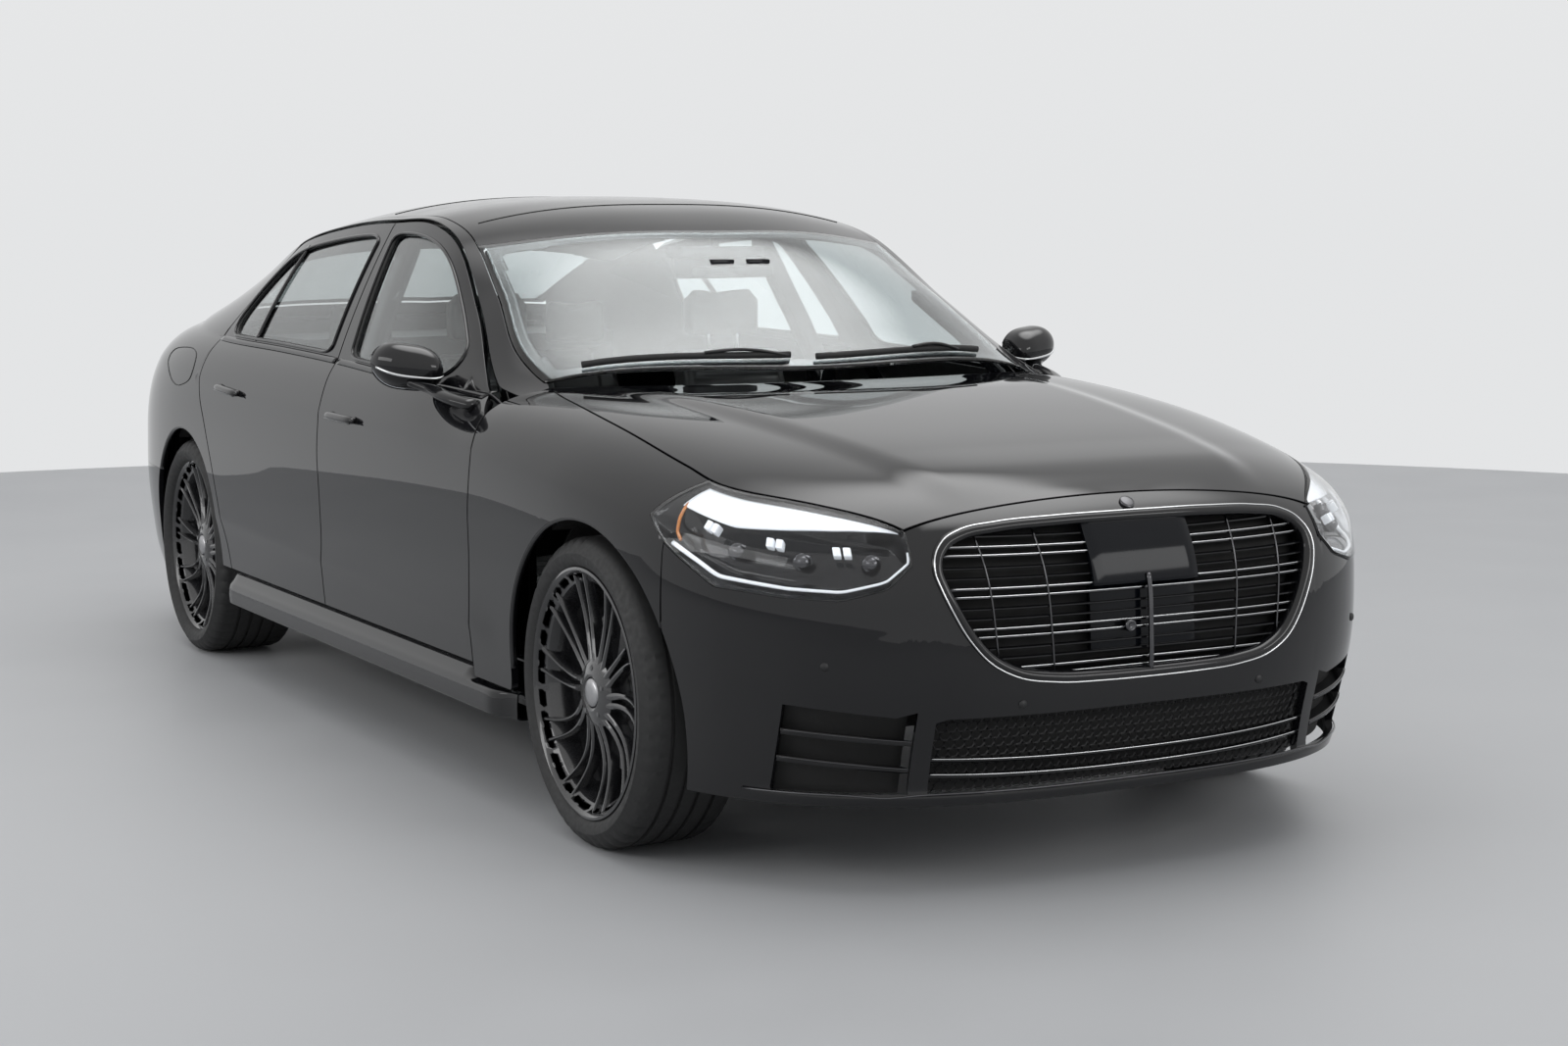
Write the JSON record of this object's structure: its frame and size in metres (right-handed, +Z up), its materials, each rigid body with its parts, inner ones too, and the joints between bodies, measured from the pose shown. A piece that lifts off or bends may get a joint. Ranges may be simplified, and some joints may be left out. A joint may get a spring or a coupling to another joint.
{
  "type": "sedan car",
  "caption": "Long-wheelbase saloon car with opening doors, hood and boot lid, steered front wheels and turning road wheels.",
  "frame": {"origin": "on the ground at the middle of the length and of the width", "axes": "+X to the front of the car, +Y to its left, +Z up"},
  "size_m": [5.2893, 2.0878, 1.5029],
  "materials": {
    "body_paint": "gloss",
    "dark_glass": "clear",
    "gloss_black": "gloss",
    "lamp_clear": "clear",
    "lamp_red": "gloss",
    "chassis_steel": "satin",
    "liner_plastic": "matte",
    "cast_alloy": "cast",
    "exhaust_steel": "satin",
    "trim_plastic": "matte",
    "seat_leather": "satin",
    "wheel_paint": "gloss",
    "tyre": "matte"
  },
  "bodies": {
    "body": {"floor_pan": "chassis_steel", "side_frames": "body_paint", "sill_skirts": "gloss_black", "roof": "body_paint", "windscreen": "dark_glass", "rear_window": "dark_glass", "front_fenders": "body_paint", "front_bumper": "body_paint", "grille": "gloss_black", "headlamps": "lamp_clear", "rear_bumper": "body_paint", "tail_lamps": "lamp_red", "wheel_liners": "liner_plastic", "engine": "cast_alloy", "front_frame": "chassis_steel", "front_suspension": "chassis_steel", "rear_suspension": "chassis_steel", "exhaust": "exhaust_steel", "bulkheads": "trim_plastic", "dashboard": "trim_plastic", "centre_console": "trim_plastic", "front_seats": "seat_leather", "rear_seat": "seat_leather"},
    "front_left_door": {"door_front_left": "body_paint", "glass_front_left": "dark_glass", "mirror_left": "body_paint"},
    "front_right_door": {"door_front_right": "body_paint", "glass_front_right": "dark_glass", "mirror_right": "body_paint"},
    "rear_left_door": {"door_rear_left": "body_paint", "glass_rear_left": "dark_glass"},
    "rear_right_door": {"door_rear_right": "body_paint", "glass_rear_right": "dark_glass"},
    "hood": {"hood": "body_paint"},
    "boot_lid": {"boot_lid": "body_paint"},
    "steering_wheel": {"steering_wheel": "trim_plastic"},
    "left_knuckle": {"knuckle_left": "cast_alloy"},
    "right_knuckle": {"knuckle_right": "cast_alloy"},
    "front_left_wheel": {"wheel_front_left": "wheel_paint", "tyre_front_left": "tyre"},
    "front_right_wheel": {"wheel_front_right": "wheel_paint", "tyre_front_right": "tyre"},
    "rear_left_wheel": {"wheel_rear_left": "wheel_paint", "tyre_rear_left": "tyre"},
    "rear_right_wheel": {"wheel_rear_right": "wheel_paint", "tyre_rear_right": "tyre"}
  },
  "joints": [
    {"name": "front_left_door_hinge", "type": "hinge", "parent": "body", "child": "front_left_door", "pos_m": [1.052, 0.934, 0.62], "axis": [0, 0, -1], "range_deg": [0, 68]},
    {"name": "rear_left_door_hinge", "type": "hinge", "parent": "body", "child": "rear_left_door", "pos_m": [-0.112, 0.934, 0.62], "axis": [0, 0, -1], "range_deg": [0, 70]},
    {"name": "front_right_door_hinge", "type": "hinge", "parent": "body", "child": "front_right_door", "pos_m": [1.052, -0.934, 0.62], "axis": [0, 0, 1], "range_deg": [0, 68]},
    {"name": "rear_right_door_hinge", "type": "hinge", "parent": "body", "child": "rear_right_door", "pos_m": [-0.112, -0.934, 0.62], "axis": [0, 0, 1], "range_deg": [0, 70]},
    {"name": "hood_hinge", "type": "hinge", "parent": "body", "child": "hood", "pos_m": [1.07, 0, 1.012], "axis": [0, -1, 0], "range_deg": [0, 60]},
    {"name": "boot_lid_hinge", "type": "hinge", "parent": "body", "child": "boot_lid", "pos_m": [-2.02, 0, 1.125], "axis": [0, 1, 0], "range_deg": [0, 75]},
    {"name": "left_steer", "type": "hinge", "parent": "body", "child": "left_knuckle", "pos_m": [1.7645, 0.75, 0.356], "axis": [0, 0, 1], "range_deg": [-35, 35]},
    {"name": "right_steer", "type": "hinge", "parent": "body", "child": "right_knuckle", "pos_m": [1.7645, -0.75, 0.356], "axis": [0, 0, 1], "range_deg": [-35, 35]},
    {"name": "steering_wheel_turn", "type": "hinge", "parent": "body", "child": "steering_wheel", "pos_m": [0.7, 0.37, 0.8], "axis": [-0.9272, 0, 0.3746], "range_deg": [-490, 490]},
    {"name": "front_left_wheel_spin", "type": "hinge", "parent": "left_knuckle", "child": "front_left_wheel", "pos_m": [1.7645, 0.815, 0.356], "axis": [0, 1, 0], "continuous": true},
    {"name": "front_right_wheel_spin", "type": "hinge", "parent": "right_knuckle", "child": "front_right_wheel", "pos_m": [1.7645, -0.815, 0.356], "axis": [0, 1, 0], "continuous": true},
    {"name": "rear_left_wheel_spin", "type": "hinge", "parent": "body", "child": "rear_left_wheel", "pos_m": [-1.4515, 0.8, 0.356], "axis": [0, 1, 0], "continuous": true},
    {"name": "rear_right_wheel_spin", "type": "hinge", "parent": "body", "child": "rear_right_wheel", "pos_m": [-1.4515, -0.8, 0.356], "axis": [0, 1, 0], "continuous": true}
  ],
  "couplings": [
    {"joint": "right_steer", "follows": "left_steer", "ratio": 1},
    {"joint": "steering_wheel_turn", "follows": "left_steer", "ratio": 14}
  ]
}
